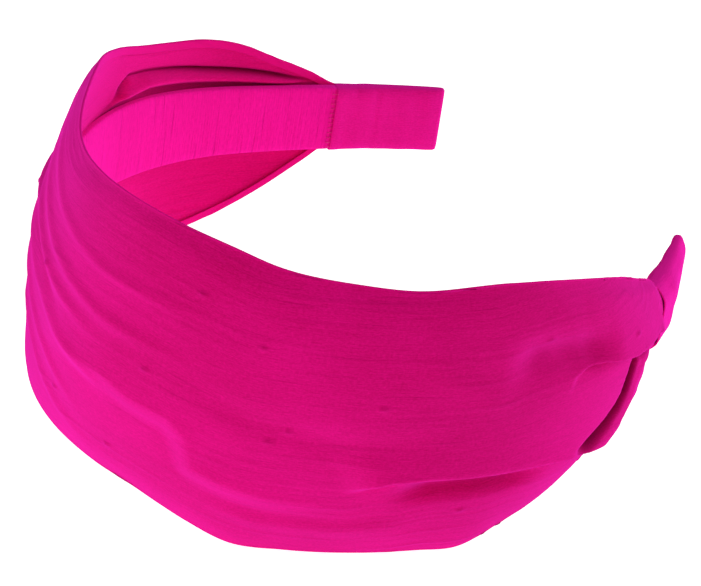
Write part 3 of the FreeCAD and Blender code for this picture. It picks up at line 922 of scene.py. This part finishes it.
def hem_thread(name, top_side):
    along = np.linspace(-SASH_REACH, SASH_REACH, THREAD_POINTS)
    top, low, top_offset, low_offset = outline(along)[:4]
    height = top - HEM_DEPTH + THREAD_INSET if top_side else HEM_DEPTH - THREAD_INSET - low
    offset = (top_offset if top_side else low_offset) - EDGE_ROLL
    return wire_object(name, place(along, offset, height), HEM_THREAD, THREAD)


def seam_thread():
    along = np.linspace(-SASH_REACH, SASH_REACH, THREAD_POINTS)
    line = place(along, SEAM_OFFSET, SEAM_WANDER * np.sin(along * SEAM_BENDS))
    return wire_object("cover_seam", line, SEAM_THREAD, THREAD)


# ---------------------------------------------------------------------------------------------
# Covered strip
# ---------------------------------------------------------------------------------------------

def rounded_ring(turn, corner):
    """A rounded rectangle of unit size: its points towards the top and outwards."""
    across = np.sign(np.cos(turn)) * np.abs(np.cos(turn)) ** corner
    through = np.sign(np.sin(turn)) * np.abs(np.sin(turn)) ** corner
    return across, through


CROWN_HALF_WIDTH = 9.5
NARROWING = 1.6
FORMER_DEPTH = 138.7


def strip_half_width(along):
    """Half the former's width: it narrows evenly from the crown to the ends."""
    level = place(along, 0, 0)
    forward = (level / MM - BAND_ORIGIN) @ FORWARDS
    return CROWN_HALF_WIDTH - NARROWING * (forward + CROWN_RADIUS) / FORMER_DEPTH


STRIP_ROWS = 96
END_CORNER = 4.0
END_NARROWING = 0.9


def strip_tube(name, reach, columns, half_thickness, extra, corner, material, wander=None):
    """A flat tube with rounded edges, along the strip."""
    along = np.linspace(-reach, reach, columns)
    half = strip_half_width(along) + extra
    past = np.maximum(0, END_CORNER - (reach - np.abs(along)))
    cut = END_CORNER - np.sqrt(np.maximum(END_CORNER ** 2 - past ** 2, 0))
    half = half - cut * END_NARROWING
    turn = np.linspace(0, 2 * math.pi, STRIP_ROWS, endpoint=False)
    across, through = rounded_ring(turn, corner)
    up = half[:, None] * across
    out = np.broadcast_to(half_thickness * through, up.shape)
    if wander is not None:
        out, up = wander(along[:, None], out, up)
    sections = place(along[:, None], out, up)
    run = np.concatenate([[0], np.cumsum(np.hypot(np.diff(up[0]), np.diff(out[0])))])
    cloth = np.stack(np.broadcast_arrays(along[:, None], run), -1)
    return closed_tube(name, sections, cloth, material)


LOOSE_HEIGHT = 2.2
LOOSE_PLACE = -96
LOOSE_REACH = 26
LOOSE_THINNING = 0.25
CLOSE_NARROWING = 0.03


def loose_cover(along, out, up):
    """The cover stands up above the former on the left arm, and lies close to it in the cuffs."""
    share = np.exp(-((along - LOOSE_PLACE) / LOOSE_REACH) ** 2)
    upper = smooth(up / CROWN_HALF_WIDTH)
    close = smooth((np.abs(along) - CUFF_MOUTH + 2) / 4)
    thinned = out * (1 - LOOSE_THINNING * upper * share)
    return thinned, up * (1 - CLOSE_NARROWING * close) + LOOSE_HEIGHT * share * upper


def make_cover():
    return strip_tube(
        "silk_cover", STRIP_END - 0.1, columns=700, half_thickness=1.5, extra=0.5, corner=0.35,
        material=COVER_SILK, wander=loose_cover,
    )


def make_former():
    return strip_tube(
        "spring_former", STRIP_END - 0.2, columns=240, half_thickness=0.95, extra=-0.1, corner=0.25,
        material=PLASTIC,
    )


# ---------------------------------------------------------------------------------------------
# Cuffs
# ---------------------------------------------------------------------------------------------

CUFF_STEPS = 90
CUFF_ROWS = 140
CUFF_WALL = 0.4
CUFF_LENGTH = CUFF_TOE - CUFF_MOUTH
CUFF_CORNER = 0.38
OUTER_NARROWING = 0.24
LIP_STEPS = 7
TOE_ROUNDING = 1.1
TOE_HALF_WIDTH = 0.93
TOE_DEPTH = 0.3
CUFF_PUCKERS = 34
CUFF_SEED = 40
MEASURED_RING = -30


def cuff_outline(share, inset):
    """Inner and outer offset, half height and middle height of a cuff, this share of the way from
    its mouth to its toe."""
    outer = np.interp(share, (0, 0.3, 0.55, 1), (4.9, 4.6, 3.6, 1.95))
    inner = np.interp(share, (0, 1), (-2.2, -2.0))
    half = np.interp(share, (0, 0.1, 0.9, 1), (8.85, 8.75, 8.7, 8.6))
    middle = np.interp(share, (0, 1), (-0.15, 0.3))
    return inner + inset, outer - inset, half - inset, middle


def outer_taper(through):
    """The cuff and what it holds are narrower on the outer side than against the head."""
    return 1 - OUTER_NARROWING * smooth(through)


def cuff_puckers(share, turn, side):
    """Shallow puffs and dents over a cuff, in millimetres."""
    rng = np.random.default_rng(CUFF_SEED + side)
    relief = np.zeros((len(share), len(turn)))
    for _ in range(CUFF_PUCKERS):
        place_at, width = rng.uniform(0, 1), rng.uniform(0.03, 0.1)
        level, reach = rng.uniform(0, 2 * math.pi), rng.uniform(0.2, 0.9)
        height = rng.uniform(-0.28, 0.28)
        near = (1 - np.cos(turn - level)) / reach
        relief += height * np.exp(-((share[:, None] - place_at) / width) ** 2 - near[None, :])
    return relief


def make_cuff(name, side):
    """A closed silk sleeve over the end of the band: in along its lining, out along its face."""
    steps = np.linspace(0, 1, CUFF_STEPS)
    turn = np.linspace(0, 2 * math.pi, CUFF_ROWS, endpoint=False)
    across, through = rounded_ring(turn, CUFF_CORNER)
    lining_share = steps[::-1] * (1 - CUFF_WALL / CUFF_LENGTH)
    lip_turn = np.linspace(0, math.pi, LIP_STEPS)[1:-1]
    share = np.concatenate([lining_share, -0.2 * np.sin(lip_turn) / CUFF_LENGTH, steps])
    inset = np.concatenate([
        np.full(CUFF_STEPS, CUFF_WALL),
        CUFF_WALL * (1 + np.cos(lip_turn)) / 2,
        np.zeros(CUFF_STEPS),
    ])
    closing = np.minimum(1, (1 - share) * CUFF_LENGTH / TOE_ROUNDING)
    closed = np.sqrt(np.clip(1 - (1 - closing) ** 2, 0, 1))
    rounded = TOE_HALF_WIDTH + (1 - TOE_HALF_WIDTH) * closed
    inner, outer, half, middle = cuff_outline(share, inset)
    distance = CUFF_MOUTH + share * CUFF_LENGTH
    relief = cuff_puckers(share, turn, side) * (inset[:, None] == 0)
    up = middle[:, None] + half[:, None] * across * rounded[:, None] * outer_taper(through)
    middle_out = (inner + outer)[:, None] / 2
    depth = (outer - inner)[:, None] / 2 * (TOE_DEPTH + (1 - TOE_DEPTH) * closed[:, None])
    out = middle_out + (depth + relief) * through
    sections = place(side * distance[:, None], out, up)
    steps_round = np.hypot(np.diff(up[MEASURED_RING]), np.diff(out[MEASURED_RING]))
    run = np.concatenate([[0], np.cumsum(steps_round)])
    lie = np.stack(np.broadcast_arrays(distance[:, None], run), -1)
    return closed_tube(name, sections, lie, CUFF_SILK)


# The gathering thread's ring: half height, middle offset, half depth, distance past the cuff's
# mouth, and how far and how often it wanders.
GATHER_RING = (8.1, 1.2, 3.0, 3.2, 0.2, 23)


def make_gather_ring(name, side):
    """The gathering thread, drawn tight round the sash's end inside the cuff."""
    turn = np.linspace(0, 2 * math.pi, 160)
    across, through = rounded_ring(turn, 0.5)
    half, middle, depth, past_mouth, wander, bends = GATHER_RING
    up = half * across * outer_taper(through)
    out = middle + depth * through
    along = CUFF_MOUTH + past_mouth + wander * np.sin(turn * bends)
    return wire_object(name, place(side * along, out, up), GATHER_THREAD, THREAD)


# The stitches: the topmost, their spacing, their place along the band, half their length, their
# offset from the former's centre line and their slant.
STITCH_TOP = 7.6
STITCH_PITCH = 1.35
STITCH_PLACE = CUFF_MOUTH - 0.55
STITCH_HALF_LENGTH = 0.75
STITCH_OFFSET = -1.58
STITCH_SLANT = 0.12


def make_stitches(name, side):
    """Hand stitches that hold the cuff's mouth to the cover, as short slanting runs of thread."""
    pieces = []
    for height in np.arange(-STITCH_TOP, STITCH_TOP, STITCH_PITCH):
        run = np.linspace(-1, 1, 9)
        along = STITCH_PLACE + STITCH_HALF_LENGTH * run
        out = STITCH_OFFSET - 0.2 * (1 - run ** 2) - 0.3 * smooth((run - 0.2) / 0.6)
        pieces.append(place(side * along, out, height + STITCH_SLANT * run))
    return [
        wire_object(name + "_%02d" % number, line, STITCH_THREAD, THREAD)
        for number, line in enumerate(pieces)
    ]


def joined(name, objects):
    """One object out of several meshes."""
    with bpy.context.temp_override(active_object=objects[0], selected_editable_objects=objects):
        bpy.ops.object.join()
    objects[0].name = name
    return objects[0]


# ---------------------------------------------------------------------------------------------
# Build
# ---------------------------------------------------------------------------------------------


def across_crown(obj, node):
    """obj runs over the crown in one piece, in place of the two halves of a CAD piece."""
    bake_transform(obj)
    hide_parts(node + "_left", node + "_right")


def on_half(obj, node, half):
    """obj moves with one half, in place of that half's CAD piece."""
    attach(obj, half + "_half")
    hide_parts(node + "_" + half)


across_crown(make_sash(), "sash_face")
across_crown(make_lining(), "sash_lining")
across_crown(make_cover(), "cover")
across_crown(make_former(), "former")
across_crown(make_wadding(), "sash_interlining")
across_crown(hem_thread("hem_thread_upper", True), "upper_edge_thread")
across_crown(hem_thread("hem_thread_lower", False), "lower_edge_thread")
across_crown(seam_thread(), "cover_seam_thread")
for side, half in ((-1, "left"), (1, "right")):
    on_half(make_cuff("silk_cuff_" + half, side), "cuff", half)
    on_half(make_gather_ring("gathering_thread_" + half, side), "gather_thread", half)
    stitches = joined("cuff_stitches_" + half, make_stitches("stitch_" + half, side))
    on_half(stitches, "cuff_thread", half)

for name, node in frame["nodes"].items():
    node.data.materials.clear()
    node.data.materials.append(WADDING if "interlining" in name else THREAD)

# ---------------------------------------------------------------------------------------------
# Stage
# ---------------------------------------------------------------------------------------------

IMAGE_WIDTH = 701
FOCAL_PIXELS = 4178.45
CAMERA_PLACE = (0.60434, -0.57013, 0.55281)
CAMERA_AZIMUTH = 46.321
CAMERA_ELEVATION = 32.581
CAMERA_ROLL = 4.688


def add_camera():
    data = bpy.data.cameras.new("camera")
    data.lens = FOCAL_PIXELS / IMAGE_WIDTH * data.sensor_width
    data.clip_start = 0.01
    camera = bpy.data.objects.new("camera", data)
    camera.location = CAMERA_PLACE
    camera.rotation_mode = "XYZ"
    tilt = math.radians(90 - CAMERA_ELEVATION)
    turn = math.radians(CAMERA_AZIMUTH)
    roll = Matrix.Rotation(math.radians(CAMERA_ROLL), 3, "Z")
    aim = Euler((tilt, 0, turn), "XYZ").to_matrix() @ roll
    camera.rotation_euler = aim.to_euler()
    bpy.context.scene.collection.objects.link(camera)
    bpy.context.scene.camera = camera


FLOOR_SIZE = 3.0
FLOOR_GAP = 0.0001


def add_floor(level):
    size = FLOOR_SIZE
    corners = [(-size, -size, level), (size, -size, level), (size, size, level), (-size, size, level)]
    nodes = Nodes("floor")
    nodes.finish(
        Base_Color=(0.9, 0.9, 0.9, 1.0),
        Roughness=0.9,
        Emission_Color=(1.0, 1.0, 1.0, 1.0),
        Emission_Strength=0.85,
    )
    floor = mesh_object("floor", corners, [(0, 1, 2, 3)], [(0, 0)] * 4, nodes.material)
    floor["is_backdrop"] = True


LIGHT_AIM = Vector((0, 0, 0.03))
# Name, place, power and size.
LIGHTS = (
    ("key", (-0.75, -0.85, 0.05), 3.4, 0.25),
    ("front", (0.0, -1.1, 0.03), 4.6, 0.3),
    ("side", (1.0, -0.1, 0.8), 0.7, 0.4),
    ("back", (0.4, 0.85, 0.4), 4.5, 0.4),
)
SKY_STRENGTH = 0.38


def add_light(name, place_of, power, size):
    data = bpy.data.lights.new(name, "AREA")
    data.energy = power
    data.size = size
    light = bpy.data.objects.new(name, data)
    light.location = place_of
    light.rotation_euler = (LIGHT_AIM - Vector(place_of)).to_track_quat("-Z", "Y").to_euler()
    bpy.context.scene.collection.objects.link(light)


add_camera()
add_floor(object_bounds()[0].z - FLOOR_GAP)
for light in LIGHTS:
    add_light(*light)
world = bpy.data.worlds.new("studio")
world.use_nodes = True
sky = world.node_tree.nodes["Background"]
sky.inputs["Color"].default_value = (1, 1, 1, 1)
sky.inputs["Strength"].default_value = SKY_STRENGTH
bpy.context.scene.world = world
bpy.context.scene.view_settings.view_transform = "Standard"
